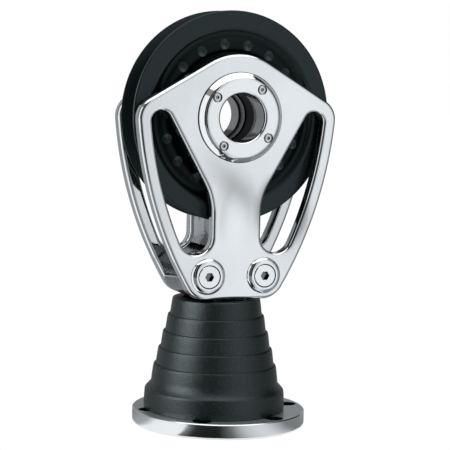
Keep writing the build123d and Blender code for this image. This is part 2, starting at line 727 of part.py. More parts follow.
# Through bolts, heads at the front, and their round nuts at the rear
bolt_front = Plane.XZ.offset(ferrule_floor)
nut_seat = Plane(origin=(0, ferrule_floor, 0), x_dir=(1, 0, 0), z_dir=(0, -1, 0))
with BuildPart() as head_bolts:
    with BuildSketch(bolt_front):
        with Locations(*bolt_places):
            Circle(bolt_head_diameter / 2)
    extrude(amount=bolt_head_height)
    chamfer(head_bolts.edges().group_by(Axis.Y)[0], bolt_head_chamfer)
    with BuildSketch(bolt_front):
        with Locations(*bolt_places):
            Circle(bolt_diameter / 2)
    extrude(amount=-2 * ferrule_floor - nut_thread_depth)
    with BuildSketch(Plane.XZ.offset(ferrule_face - bolt_socket_depth)):
        with Locations(*bolt_places):
            hexagon(bolt_socket)
    extrude(amount=bolt_socket_depth, mode=Mode.SUBTRACT)
head_bolts.part.label = "head_bolts"
export_step(head_bolts.part, "parts/head_bolts.step")

with BuildPart() as head_nuts:
    with BuildSketch(nut_seat):
        with Locations(*bolt_places):
            Circle(bolt_head_diameter / 2)
    extrude(amount=-bolt_head_height)
    chamfer(head_nuts.edges().group_by(Axis.Y)[-1], bolt_head_chamfer)
    with BuildSketch(nut_seat):
        with Locations(*bolt_places):
            Circle(bolt_diameter / 2 + thread_gap)
    extrude(amount=-nut_thread_depth, mode=Mode.SUBTRACT)
    with BuildSketch(Plane(origin=(0, ferrule_face, 0), x_dir=(1, 0, 0), z_dir=(0, -1, 0))):
        with Locations(*bolt_places):
            hexagon(bolt_socket)
    extrude(amount=bolt_head_height - nut_thread_depth, mode=Mode.SUBTRACT)
head_nuts.part.label = "head_nuts"
export_step(head_nuts.part, "parts/head_nuts.step")

# Stepped boot, a soft shell round the toggle
boot_axis = Axis((boot_shift, 0, 0), (0, 0, 1))
boot_bottom = base_thickness + boot_seat_gap
boot_top = plate_bottom - boot_top_gap
flare_top = boot_skirt_top + boot_flare_height
boot_step_height = (boot_top - flare_top - boot_last_step_extra) / boot_step_count
boot_outside = []
boot_lips = []
for step in range(boot_step_count):
    step_top = boot_top - step * boot_step_height
    step_radius = boot_neck_radius + step * boot_step_growth
    boot_lips.append(((step_radius, step_top), boot_lip_round))
    boot_outside.append((step_radius, step_top))
    boot_outside.append((step_radius + boot_step_draft, step_top - boot_step_height))
boot_outside[-1] = (boot_outside[-1][0], flare_top)
boot_outside.append((boot_skirt_radius, boot_skirt_top))
boot_outside.append((boot_skirt_radius + boot_skirt_draft, boot_bottom))
boot_inside = [(radius - boot_wall, height - boot_wall) for radius, height in boot_outside[:-1]]
boot_inside.append((boot_skirt_radius + boot_skirt_draft - boot_wall, boot_bottom))
with BuildPart() as boot:
    boot_section = Plane(origin=(boot_shift, 0, 0), x_dir=(1, 0, 0), z_dir=(0, -1, 0))
    with BuildSketch(boot_section) as boot_outline:
        with BuildLine():
            Polyline((boot_mouth_radius, boot_top), *boot_outside, *reversed(boot_inside),
                     (boot_mouth_radius, boot_top - boot_wall), close=True)
        make_face()
        round_corners(boot_outline, boot_lips)
    revolve(axis=boot_axis)
boot.part.label = "boot"
export_step(boot.part, "parts/boot.step")
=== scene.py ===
import json
from math import cos, pi, radians, sin

import bmesh
import bpy
from mathutils import Matrix, Vector


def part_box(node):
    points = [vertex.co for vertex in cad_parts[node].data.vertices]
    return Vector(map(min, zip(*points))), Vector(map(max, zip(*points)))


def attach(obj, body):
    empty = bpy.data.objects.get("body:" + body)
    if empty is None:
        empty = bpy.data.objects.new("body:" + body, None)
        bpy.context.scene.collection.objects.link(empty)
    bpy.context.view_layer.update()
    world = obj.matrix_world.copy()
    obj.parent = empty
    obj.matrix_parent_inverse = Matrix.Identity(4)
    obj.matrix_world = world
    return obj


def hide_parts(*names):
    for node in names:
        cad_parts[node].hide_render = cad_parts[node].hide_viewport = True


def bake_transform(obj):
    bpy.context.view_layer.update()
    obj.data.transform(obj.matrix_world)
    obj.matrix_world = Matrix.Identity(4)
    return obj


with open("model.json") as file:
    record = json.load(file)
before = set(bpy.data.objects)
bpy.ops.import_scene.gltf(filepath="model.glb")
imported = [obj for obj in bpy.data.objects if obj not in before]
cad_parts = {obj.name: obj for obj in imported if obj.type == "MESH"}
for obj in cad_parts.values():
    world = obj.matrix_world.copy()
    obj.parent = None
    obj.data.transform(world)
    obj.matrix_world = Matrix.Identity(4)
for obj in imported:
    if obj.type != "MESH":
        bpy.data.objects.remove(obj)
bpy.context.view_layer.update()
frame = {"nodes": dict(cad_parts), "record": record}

# Sizes in metres. The frame gives the places of the axis, the base, the plates and the bolts.
mm = 0.001
sheave_low, sheave_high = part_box("sheave")
base_low, base_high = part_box("base_plate")
boot_low, boot_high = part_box("boot")
plate_low, plate_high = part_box("front_plate")
bolt_low, bolt_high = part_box("head_bolts")
sheave_height = (sheave_low.z + sheave_high.z) / 2
base_radius = (base_high.x - base_low.x) / 2
plate_face = -plate_low.y
plate_inner_face = -plate_high.y

# Fasteners
bolt_head_radius = 8.1 * mm
bolt_half_spacing = bolt_high.x - bolt_head_radius
bolt_height = (bolt_low.z + bolt_high.z) / 2
bolt_face = -bolt_low.y
hub_screw_circle_radius = 24.3 * mm
hub_screw_turn = radians(54.6)

# Hub and race, seen through the bore
hub_bore_radius = 17.0 * mm
race_waist_radius = 18.75 * mm

# Sheave, its dished inner face and the dimples on both faces
dish_radius = 60 * mm
dimple_circle_radius = 51.5 * mm
dimple_radius = 3.6 * mm
dimple_count = 18
dimple_turn = radians(18)

# Boot
boot_axis_x = (boot_low.x + boot_high.x) / 2
boot_neck_radius = 31.7 * mm
boot_step_count = 5
boot_step_growth = 3.18 * mm
boot_step_draft = 1.6 * mm
boot_last_step_extra = 1.1 * mm     # the lowest step is this much taller than the others
boot_skirt_radius = 50.5 * mm
boot_skirt_draft = 0.7 * mm
boot_skirt_top = 25.0 * mm
boot_skirt_round = 3.0 * mm
boot_foot_chamfer = 0.4 * mm
boot_flare_height = 4.6 * mm
boot_wall = 3.4 * mm
boot_mouth_radius = 24.5 * mm
boot_lip_round = 1.1 * mm
boot_flare_top = boot_skirt_top + boot_flare_height
boot_step_height = (boot_high.z - boot_flare_top - boot_last_step_extra) / boot_step_count
boot_lip_arc = (90, 8)              # degrees above level
boot_skirt_arc = (50, 4)
boot_arc_steps = 5
boot_turns = 144
boot_crease_angle = radians(50)

# The boot's two shells meet at the crease below this many steps
split_step = 3
split_height = boot_high.z - split_step * boot_step_height

# Side plates
edge_round = 3.0 * mm
edge_steps = 10
straight_angle = radians(0.1)
merge_distance = 0.001 * mm

# Camera, at the photograph's viewing angle
object_middle = Vector((0, 0, 150 * mm))
camera_azimuth = radians(-23.159)
camera_elevation = radians(5.728)
camera_roll = radians(1.506)
camera_distance = 1219.7 * mm
camera_slide_right = -1.374 * mm
camera_slide_up = 6.472 * mm
camera_sensor = 36         # mm
camera_lens = 135.42       # mm

# Studio
floor_half_size = 6.0
world_seen = 1.0
world_mirrored = 0.28
world_fill = 0.06
softbox_place = Vector((-1.2, -0.06, 0.55))
softbox_size = (0.95, 1.1)
softbox_radiance = 3.4
panel_gap = Vector((-10 * mm, 0, 0))
top_softbox_place = Vector((0.05, -0.2, 1.45))
top_softbox_size = (2.0, 1.6)
top_softbox_radiance = 1.3
cool_tint = (0.965, 1.0, 1.03)
ring_turns = 24


def smooth(obj):
    """Shade an object's faces smoothly."""
    for face in obj.data.polygons:
        face.use_smooth = True


def make_object(name, shape):
    """Turn a bmesh into a linked object whose place is in its mesh."""
    mesh = bpy.data.meshes.new(name)
    shape.to_mesh(mesh)
    shape.free()
    obj = bpy.data.objects.new(name, mesh)
    bpy.context.scene.collection.objects.link(obj)
    return obj


def dress(obj, material):
    """Give an object one material."""
    obj.data.materials.clear()
    obj.data.materials.append(material)


def place_camera():
    """Camera that repeats the photograph's view."""
    data = bpy.data.cameras.new("camera")
    data.sensor_width = camera_sensor
    data.lens = camera_lens
    data.clip_start = 0.05
    data.clip_end = 50
    camera = bpy.data.objects.new("camera", data)
    bpy.context.scene.collection.objects.link(camera)
    back = Vector((sin(camera_azimuth) * cos(camera_elevation),
                   -cos(camera_azimuth) * cos(camera_elevation), sin(camera_elevation)))
    level_right = Vector((cos(camera_azimuth), sin(camera_azimuth), 0))
    level_up = back.cross(level_right)
    right = cos(camera_roll) * level_right + sin(camera_roll) * level_up
    up = -sin(camera_roll) * level_right + cos(camera_roll) * level_up
    place = (object_middle + back * camera_distance - right * camera_slide_right
             - up * camera_slide_up)
    turn = Matrix((right, up, back)).transposed()
    camera.matrix_world = Matrix.Translation(place) @ turn.to_4x4()
    bpy.context.scene.camera = camera


place_camera()


class Field:
    """A value or colour in a material; arithmetic on values adds Math nodes."""

    def __init__(self, paint, socket):
        self.paint = paint
        self.socket = socket

    def math(self, operation, *others):
        made = self.paint.node("ShaderNodeMath", dict(enumerate((self,) + others)),
                               operation=operation)
        return made.out(0)

    def __add__(self, other):
        return self.math("ADD", other)

    def __mul__(self, other):
        return self.math("MULTIPLY", other)

    def __sub__(self, other):
        return self.math("SUBTRACT", other)

    def __rsub__(self, other):
        return self.math("MULTIPLY", -1.0) + other

    __radd__ = __add__
    __rmul__ = __mul__

    def __truediv__(self, other):
        return self.math("DIVIDE", other)

    def __pow__(self, other):
        return self.math("POWER", other)

    def __abs__(self):
        return self.math("ABSOLUTE")

    def above(self, edge, softness=0.3 * mm):
        """0 well below the edge, 1 well above it."""
        low = edge - softness / 2
        made = self.paint.node("ShaderNodeMapRange",
                               {"Value": self, "From Min": low, "From Max": low + softness},
                               interpolation_type="SMOOTHSTEP")
        return made.out("Result")

    def bell(self):
        """1 at zero, falling softly away on both sides."""
        return (self * self * -1).math("EXPONENT")


def distance(across, along):
    """How far a point is from where both coordinates are zero."""
    return (across * across + along * along) ** 0.5


def oval(x, z, middle, radii):
    """Distance from an oval's middle, 1 on its outline."""
    return distance((x - middle[0]) / radii[0], (z - middle[1]) / radii[1])


class Made:
    """A node just made, whose outputs are read as fields."""

    def __init__(self, paint, node):
        self.paint = paint
        self.node = node

    def out(self, key):
        return Field(self.paint, self.node.outputs[key])


class Paint:
    """The node tree of one material or world."""

    def __init__(self, owner):
        owner.use_nodes = True
        self.owner = owner
        self.tree = owner.node_tree
        self.tree.nodes.clear()

    def node(self, kind, values=None, stops=None, **settings):
        """Add a node: its settings first, then the values or links of its sockets."""
        made = self.tree.nodes.new(kind)
        for key, value in settings.items():
            setattr(made, key, value)
        if stops:
            ramp = made.color_ramp
            while len(ramp.elements) < len(stops):
                ramp.elements.new(0.5)
            for element, (place, colour) in zip(ramp.elements, stops):
                element.position = place
                element.color = (*colour, 1)
        for key, value in (values or {}).items():
            if isinstance(value, Field):
                self.tree.links.new(value.socket, made.inputs[key])
            else:
                made.inputs[key].default_value = value
        return Made(self, made)

    def place(self, scale=(1, 1, 1), location=(0, 0, 0)):
        """Object coordinates, in metres times a scale."""
        here = self.node("ShaderNodeTexCoord").out("Object")
        return self.node("ShaderNodeMapping", {"Vector": here, "Scale": scale,
                                               "Location": location}).out("Vector")

    def noise(self, vector, scale, detail, roughness=0.5):
        return self.node("ShaderNodeTexNoise", {"Vector": vector, "Scale": scale,
                                                "Detail": detail,
                                                "Roughness": roughness}).out("Fac")

    def mix(self, factor, first, second):
        made = self.node("ShaderNodeMix", {0: factor, 6: first, 7: second},
                         data_type="RGBA")
        return made.out(2)

    def bump(self, height, strength, depth, normal=None):
        values = {"Height": height, "Strength": strength, "Distance": depth}
        if normal is not None:
            values["Normal"] = normal
        return self.node("ShaderNodeBump", values).out("Normal")

    def parts(self, vector):
        split = self.node("ShaderNodeSeparateXYZ", {"Vector": vector})
        return split.out("X"), split.out("Y"), split.out("Z")

    def shader(self, **sockets):
        """Principled shader with the given sockets."""
        values = {key.replace("_", " "): value for key, value in sockets.items()}
        return self.node("ShaderNodeBsdfPrincipled", values).out("BSDF")

    def mix_shader(self, factor, first, second):
        return self.node("ShaderNodeMixShader", {0: factor, 1: first, 2: second}).out(0)

    def surface(self, shader):
        self.node("ShaderNodeOutputMaterial", {"Surface": shader})
        return self.owner

    def finish(self, **sockets):
        return self.surface(self.shader(**sockets))


def rgb(red, green, blue):
    return red, green, blue, 1.0


def new_paint(name):
    return Paint(bpy.data.materials.new(name))


def steel_finish(paint, where, shade=None, normal=None, dark=(0.10, 0.105, 0.11)):
    """Mirror-polished stainless steel with the faint waviness of hand polishing, dark where
    the shade is 1."""
    waves = paint.noise(where, scale=38.0, detail=1.0)
    haze = paint.noise(where, scale=160.0, detail=4.0, roughness=0.6)
    fine = paint.noise(where, scale=1300.0, detail=2.0)
    waved = paint.bump(waves, strength=0.14, depth=1.2 * mm, normal=normal)
    waved = paint.bump(fine, strength=0.02, depth=0.03 * mm, normal=waved)
    colour = paint.mix(haze, rgb(0.85, 0.86, 0.87), rgb(0.91, 0.915, 0.92))
    if shade is not None:
        colour = paint.mix(shade, colour, rgb(*dark))
    return paint.finish(Base_Color=colour, Metallic=1.0, Roughness=haze * 0.05 + 0.035,
                        Normal=waved)


def polished_steel():
    """Polished steel without any feature of its own."""
    paint = new_paint("polished_steel")
    return steel_finish(paint, paint.place())


def plate_steel():
    """Side plate: polished, a little cloudy, a shallow hollow with painted shade round the
    spine's face, a painted soft shadow across it, painted shade round a slot's foot and on inner
    faces."""
    paint = new_paint("plate_steel")
    where = paint.place()
    x, y, z = paint.parts(where)
    cloud = paint.noise(where, scale=30.0, detail=1.0)
    patches = paint.noise(where, scale=19.0, detail=1.0).above(0.50, softness=0.36)

    # Shallow hollow round the spine's face, open at its foot and fainter at its top: a bump that
    # tilts the face, and painted shade in its colour
    spine_middle, spine_radii = (-1.5 * mm, 148 * mm), (13 * mm, 30 * mm)
    hollow_and_shade = (((oval(x, z, spine_middle, spine_radii) - 1) / 0.36).bell()
              * z.above(140 * mm, softness=30 * mm)
              * (1 - z.above(172 * mm, softness=16 * mm) * 0.55))

    # Painted shade round the foot of the right slot, in place of a soft roll-off of its edges
    slot_middle, slot_radii = (35.5 * mm, 156 * mm), (14.5 * mm, 21 * mm)
    roll_shade = (((oval(x, z, slot_middle, slot_radii) - 1.12) / 0.30).bell()
            * (1 - z.above(182 * mm, softness=22 * mm))
            * (z.above(134 * mm, softness=24 * mm) * 0.65 + 0.35))

    # Soft shadow that crosses the spine below the hub, down to the right
    right, up = x + 1.5 * mm, z - 172 * mm
    shadow = distance((right - up) / (37 * mm), (right + up) / (13.5 * mm)).bell()

    # Painted shade on the inner faces, which face each other between the plates
    inner_face = 1 - abs(y).above(plate_inner_face + 0.3 * mm)
    outer_shade = hollow_and_shade * 0.10 + roll_shade * (cloud * 0.4 + 0.42) + patches * 0.10 + shadow * 0.35
    inner_shade = cloud * 0.3 + 0.10
    return steel_finish(paint, where,
                        shade=outer_shade * (1 - inner_face) + inner_shade * inner_face,
                        normal=paint.bump(1 - hollow_and_shade, strength=1.0, depth=0.4 * mm))


def hub_steel():
    """Hub cap: polished outside, with painted shade along its foot and in its bore."""
    paint = new_paint("hub_steel")
    x, y, z = paint.parts(paint.place(location=(0, 0, -sheave_height)))
    # Painted shade: half dark in the bore, and a dark line along the foot against the plate
    bore = 1 - distance(x, z).above(hub_bore_radius + 0.2 * mm)
    foot = 1 - abs(y).above(plate_face + 1.2 * mm, softness=0.4 * mm)
    return steel_finish(paint, paint.place(), dark=(0.012, 0.013, 0.014),
                        shade=bore * 0.52 + foot * (1 - bore) * 0.95)


def ferrule_steel():
    """Ferrules: polished, with painted shade along the foot and in the gap round the bolt's head.
    """
    paint = new_paint("ferrule_steel")
    x, y, z = paint.parts(paint.place(location=(0, 0, -bolt_height)))
    # Painted shade in the gap round each bolt's head and along the foot
    gap = 1 - distance(abs(x) - bolt_half_spacing, z).above(bolt_head_radius + 0.45 * mm)
    foot = 1 - abs(y).above(plate_face + 0.45 * mm)
    return steel_finish(paint, paint.place(), dark=(0.03, 0.031, 0.032),
                        shade=gap.math("MAXIMUM", foot) * 0.92)


def bolt_steel():
    """Bolts and nuts: polished, with painted shade below the face of their heads."""
    paint = new_paint("bolt_steel")
    _, y, _ = paint.parts(paint.place())
    below = 1 - abs(y).above(bolt_face - 0.35 * mm)
    return steel_finish(paint, paint.place(), shade=below * 0.92)


def screw_steel():
    """Hub screws: their four heads a duller grey, with painted shade in the sockets and round the
    edges.
    """
    paint = new_paint("screw_steel")
    centred = paint.place(location=(0, 0, -sheave_height))
    x, _, z = paint.parts(paint.node("ShaderNodeMapping", {
        "Vector": centred, "Rotation": (0, hub_screw_turn, 0)}).out("Vector"))
    # Turned by their angle, the four heads lie on the axes and fold into one
    outwards = abs(x).math("MAXIMUM", abs(z)) - hub_screw_circle_radius
    aside = abs(x).math("MINIMUM", abs(z))
    radius = distance(outwards, aside)
    # Painted shade in each socket and round each head's edge
    socket = 1 - radius.above(1.3 * mm, softness=0.5 * mm)
    edge = radius.above(2.7 * mm, softness=0.9 * mm)
    return steel_finish(paint, paint.place(),
                        shade=socket.math("MAXIMUM", edge) * 0.55 + 0.30)


def shaded_block_steel():
    """Head block: smooth cast steel, painted darker than the polished plates as painted shade for
    the shade between them.
    """
    paint = new_paint("shaded_block_steel")
    cloud = paint.noise(paint.place(), scale=55.0, detail=2.0)
    colour = paint.mix(cloud, rgb(0.20, 0.21, 0.22), rgb(0.50, 0.51, 0.52))
    return paint.finish(Base_Color=colour, Metallic=1.0, Roughness=cloud * 0.08 + 0.10,
                        Normal=paint.bump(cloud, strength=0.2, depth=1.5 * mm))


def brushed_steel(name, tint, roughness, grain):
    """Machined stainless steel with a fine grain."""
    paint = new_paint(name)
    where = paint.place()
    cloud = paint.noise(where, scale=90.0, detail=4.0, roughness=0.6)
    lines = paint.noise(where, scale=grain, detail=3.0, roughness=0.7)
    darker = tuple(0.86 * value for value in tint)
    colour = paint.mix(cloud, rgb(*darker), rgb(*tint))
    return paint.finish(Base_Color=colour, Metallic=1.0, Roughness=lines * 0.12 + roughness,
                        Normal=paint.bump(lines, strength=0.25, depth=0.06 * mm))


def base_steel():
    """Base plate: finely blasted top, fine turning grooves round the edge, painted shade in the
    recesses.
    """
    paint = new_paint("base_steel")
    where = paint.place()
    x, y, z = paint.parts(where)
    rim = distance(x, y).above(base_radius - 0.5 * mm, softness=0.4 * mm)
    # Painted shade: the recesses below the top turn almost black
    recess = (1 - z.above(base_high.z - 0.35 * mm)) * (1 - rim)
    grains = paint.noise(where, scale=1500.0, detail=3.0, roughness=0.7)
    cloud = paint.noise(where, scale=60.0, detail=3.0)
    grooves = paint.noise(paint.place((0.02, 0.02, 1)), scale=9000.0, detail=3.0,
                          roughness=0.7)
    colour = paint.mix(cloud * 0.5 + grains * 0.5, rgb(0.66, 0.68, 0.69),
                       rgb(0.90, 0.92, 0.93))
    colour = paint.mix(rim, colour, rgb(0.82, 0.83, 0.83))
    colour = paint.mix(recess, colour, rgb(0.05, 0.052, 0.055))
    normal = paint.bump(grains * (1 - rim), strength=0.35, depth=0.12 * mm)
    normal = paint.bump(grooves * rim, strength=0.5, depth=0.035 * mm, normal=normal)
    return paint.finish(Base_Color=colour, Metallic=rim * 0.15 + 0.85,
                        Roughness=(1 - rim) * 0.10 + 0.17, Normal=normal)


def dimple_mask(x, y, z):
    """1 in the dimples on the sheave's two faces, where x and z start at its axis."""
    side = y.above(0, softness=0.1 * mm) * 2 - 1
    pitch = 2 * pi / dimple_count
    angle = z.math("ARCTAN2", x * side * -1) - dimple_turn
    nearest = (angle / pitch + 0.5 + dimple_count).math("FRACT") * pitch - pitch / 2
    radius = distance(x, z)
    outwards = radius * nearest.math("COSINE") - dimple_circle_radius
    around = radius * nearest.math("SINE")
    return 1 - distance(outwards, around).above(dimple_radius, softness=0.2 * mm)


def anodised_black():
    """Hard-anodised sheave with a satin grain and turning rings; the dished inner face is
    darker and duller than the outer band and the drilled dimples, as painted shade."""
    paint = new_paint("sheave_black")
    where = paint.place(location=(0, 0, -sheave_height))
    x, y, z = paint.parts(where)
    radius = distance(x, z)
    rings = (radius * 9000.0).math("SINE")
    grains = paint.noise(where, scale=2400.0, detail=2.0, roughness=0.6)
    cloud = paint.noise(where, scale=30.0, detail=3.0)
    tint = paint.mix(cloud * 0.6 + grains * 0.4, rgb(0.0028, 0.0046, 0.0053),
                     rgb(0.0054, 0.0088, 0.0101))
    normal = paint.bump(grains, strength=0.30, depth=0.05 * mm)
    normal = paint.bump(rings, strength=0.04, depth=0.01 * mm, normal=normal)

    def black(colour, roughness, gloss):
        return paint.shader(Base_Color=colour, Roughness=grains * 0.10 + roughness,
                            Normal=normal, Specular_IOR_Level=gloss,
                            Specular_Tint=rgb(0.80, 1.0, 1.0))

    satin = black(tint, roughness=0.26, gloss=0.42)
    # Painted shade: the dished inner face gets a darker, less glossy black
    dull_shade = black(rgb(0.0008, 0.0016, 0.002), roughness=0.30, gloss=0.16)
    drilled = black(rgb(0.040, 0.051, 0.054), roughness=0.30, gloss=0.60)
    inner_face = 1 - radius.above(dish_radius, softness=7 * mm)
    face = paint.mix_shader(inner_face, satin, dull_shade)
    return paint.surface(paint.mix_shader(dimple_mask(x, y, z), face, drilled))


def race_finish():
    """Anodised black race, its lands in the bore painted a lighter grey as painted reflection,
    its waist left black.
    """
    paint = new_paint("race_black")
    where = paint.place(location=(0, 0, -sheave_height))
    x, _, z = paint.parts(where)
    grains = paint.noise(where, scale=2400.0, detail=2.0, roughness=0.6)
    land = 1 - distance(x, z).above(race_waist_radius, softness=0.2 * mm)
    # Painted reflection: the lands turn a lighter, half-metallic grey
    colour = paint.mix(land, rgb(0.0015, 0.003, 0.0035), rgb(0.50, 0.52, 0.53))
    return paint.finish(Base_Color=colour, Roughness=grains * 0.1 + 0.42, Metallic=land * 0.6,
                        Normal=paint.bump(grains, strength=0.25, depth=0.04 * mm),
                        Specular_IOR_Level=0.15)


def boot_rubber():
    """Moulded black elastomer with a fine leathery grain and light specks that are painted
    glints.
    """
    paint = new_paint("boot_rubber")
    where = paint.place()
    grain = paint.node("ShaderNodeTexVoronoi", {"Vector": where, "Scale": 1150.0},
                       feature="F1").out("Distance")
    fine = paint.noise(where, scale=2400.0, detail=3.0, roughness=0.7)
    cloud = paint.noise(where, scale=45.0, detail=4.0, roughness=0.6)
    # Painted glints: light specks scattered over the grain
    glint_specks = paint.noise(where, scale=1150.0, detail=1.0).above(0.60, softness=0.12)
    colour = paint.mix(cloud * 0.5 + fine * 0.5, rgb(0.0007, 0.0026, 0.0031),
                       rgb(0.0026, 0.0062, 0.0072))
    colour = paint.mix(glint_specks, colour, rgb(0.020, 0.024, 0.025))
    return paint.finish(Base_Color=colour, Roughness=fine * 0.14 + 0.27,
                        Normal=paint.bump(grain + fine * 0.6, strength=0.45,
                                          depth=0.24 * mm),
                        Specular_IOR_Level=0.60, Specular_Tint=rgb(0.84, 1.0, 1.0))


def moulded_plastic():
    """Matte moulded acetal."""
    paint = new_paint("liner_plastic")
    fine = paint.noise(paint.place(), scale=1800.0, detail=3.0, roughness=0.6)
    colour = paint.mix(fine, rgb(0.08, 0.08, 0.08), rgb(0.10, 0.10, 0.10))
    return paint.finish(Base_Color=colour, Roughness=fine * 0.1 + 0.45,
                        Normal=paint.bump(fine, strength=0.2, depth=0.05 * mm))


# One finish for each material slot, and a finish of its own for the nodes that need one
finishes = {
    "polished_steel": polished_steel(),
    "base_steel": base_steel(),
    "forged_steel": brushed_steel("forged_steel", (0.66, 0.67, 0.68), 0.24, 900.0),
    "fastener_steel": brushed_steel("fastener_steel", (0.74, 0.75, 0.76), 0.18, 1600.0),
    "roller_steel": brushed_steel("roller_steel", (0.80, 0.80, 0.81), 0.10, 2400.0),
    "sheave_black": anodised_black(),
    "race_black": race_finish(),
    "liner_plastic": moulded_plastic(),
    "boot_rubber": boot_rubber(),
}
plate_finish = plate_steel()
hub_finish = hub_steel()
bolt_finish = bolt_steel()
screw_finish = screw_steel()
own_finishes = {
    "front_plate": plate_finish,
    "rear_plate": plate_finish,
    "front_hub": hub_finish,
    "rear_hub": hub_finish,
    "head_bolts": bolt_finish,
    "head_nuts": bolt_finish,
    "ferrules": ferrule_steel(),
    "head_block": shaded_block_steel(),
    "front_hub_screws": screw_finish,
    "rear_hub_screws": screw_finish,
}

for part in frame["record"]["subparts"]:
    finish = own_finishes.get(part["node"], finishes[part["material_slot"]])
    for slot in frame["nodes"][part["node"]].material_slots:
        slot.material = finish


def spun(name, profile, axis_x, turns):
    """Closed ring of a (radius, height) profile, turned about an upright axis."""
    shape = bmesh.new()
    corners = [shape.verts.new((axis_x + radius, 0, height)) for radius, height in profile]
    for corner, following in zip(corners, corners[1:] + corners[:1]):
        shape.edges.new((corner, following))
    bmesh.ops.spin(shape, geom=shape.verts[:] + shape.edges[:], cent=(axis_x, 0, 0),
                   axis=(0, 0, 1), angle=2 * pi, steps=turns, use_merge=True)
    bmesh.ops.remove_doubles(shape, verts=shape.verts, dist=merge_distance)
    bmesh.ops.recalc_face_normals(shape, faces=shape.faces)
    return make_object(name, shape)


def arc(middle, radius, start, end, count):
    """Points on an arc, angles in degrees."""
    angles = [radians(start + (end - start) * step / count) for step in range(count + 1)]
    return [(middle[0] + radius * cos(angle), middle[1] + radius * sin(angle))
            for angle in angles]


def step_radius(step):
    """Radius at the top of one of the boot's steps, counted from 0 at the neck."""
    return boot_neck_radius + step * boot_step_growth


def step_foot_radius(step):
    return step_radius(step) + boot_step_draft


def boot_wall_line(first, last):
    """Outer wall points from one step to another, top to bottom, with lips and creases."""
    points = []
    for step in range(first, last):
        top = boot_high.z - step * boot_step_height
        radius = step_radius(step)
        points += arc((radius - boot_lip_round, top - boot_lip_round), boot_lip_round,
                      *boot_lip_arc, boot_arc_steps)
        for share in (0.25, 0.5, 0.75, 1):
            points.append((radius + boot_step_draft * share, top - boot_step_height * share))
    return points


def boot_inner_line(first, last):
    """Inner wall points, bottom to top."""
    points = []
    for step in reversed(range(first, last)):
        top = boot_high.z - step * boot_step_height - boot_wall
        radius = step_radius(step) - boot_wall
        for share in (1, 0.5, 0):
            points.append((radius + boot_step_draft * share, top - boot_step_height * share))
    return points


def upper_boot_profile():
    """Closed profile from the neck down to the split."""
    points = boot_wall_line(0, split_step)
    points.append((step_foot_radius(split_step - 1) - boot_wall, split_height))
    points += [point for point in boot_inner_line(0, split_step) if point[1] > split_height]
    points += [(boot_mouth_radius, boot_high.z - boot_wall), (boot_mouth_radius, boot_high.z)]
    return points


def lower_boot_profile():
    """Closed profile from the split down to the foot of the flared skirt."""
    last_foot = step_foot_radius(boot_step_count - 1)
    skirt_foot = boot_skirt_radius + boot_skirt_draft
    points = boot_wall_line(split_step, boot_step_count)[:-1]
    points.append((last_foot, boot_flare_top))
    points += arc((boot_skirt_radius - boot_skirt_round, boot_skirt_top - boot_skirt_round / 2),
                  boot_skirt_round, *boot_skirt_arc, boot_arc_steps)
    for share in (0.3, 0.6, 0.9):
        height = boot_skirt_top + (boot_low.z - boot_skirt_top) * share
        points.append((boot_skirt_radius + boot_skirt_draft * share, height))
    points += [(skirt_foot - boot_foot_chamfer, boot_low.z), (skirt_foot - boot_wall, boot_low.z),
               (boot_skirt_radius - boot_wall, boot_skirt_top - boot_wall),
               (last_foot - boot_wall, boot_flare_top - boot_wall)]
    points += [point for point in boot_inner_line(split_step, boot_step_count)
               if boot_flare_top < point[1] < split_height]
    points.append((step_foot_radius(split_step - 1) - boot_wall, split_height))
    return points


def make_boot():
    """Two shells that meet at a crease."""
    upper = spun("boot_upper", upper_boot_profile(), boot_axis_x, boot_turns)
    lower = spun("boot_lower", lower_boot_profile(), boot_axis_x, boot_turns)
    for shell in (upper, lower):
        dress(shell, finishes["boot_rubber"])
        smooth(shell)
        shell.data.set_sharp_from_angle(angle=boot_crease_angle)
        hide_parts("boot")
    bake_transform(lower)
    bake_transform(upper)
    return [upper, lower]


boot_shells = make_boot()


def outline_loops(shape):
    """The vertices of each closed line of edges, in order."""
    left = set(shape.verts)
    loops = []
    while left:
        vert = left.pop()
        loop = [vert]
        while True:
            following = [edge.other_vert(vert) for edge in vert.link_edges
                         if edge.other_vert(vert) in left]
            if not following:
                break
            vert = following[0]
            left.remove(vert)
            loop.append(vert)
        loops.append(loop)
    return loops


def turned_area(loop):
    """Twice the loop's area in the XZ plane, positive where it runs anticlockwise."""
    return sum(vert.co.x * after.co.z - after.co.x * vert.co.z
               for vert, after in zip(loop, loop[1:] + loop[:1]))


def middle_outline(node, middle_y):
    """The outline of a CAD plate at one depth, with no vertex inside a straight stretch."""
    shape = bmesh.new()
    shape.from_mesh(frame["nodes"][node].data)
    bmesh.ops.remove_doubles(shape, verts=shape.verts, dist=merge_distance)
    bmesh.ops.bisect_plane(shape, geom=shape.verts[:] + shape.edges[:] + shape.faces[:],
                           plane_co=(0, middle_y, 0), plane_no=(0, 1, 0),
                           clear_inner=True, clear_outer=True)
    bmesh.ops.remove_doubles(shape, verts=shape.verts, dist=merge_distance)
    straight = [vert for vert in shape.verts if vert.calc_edge_angle(pi) < straight_angle]
    bmesh.ops.dissolve_verts(shape, verts=straight)
    return shape


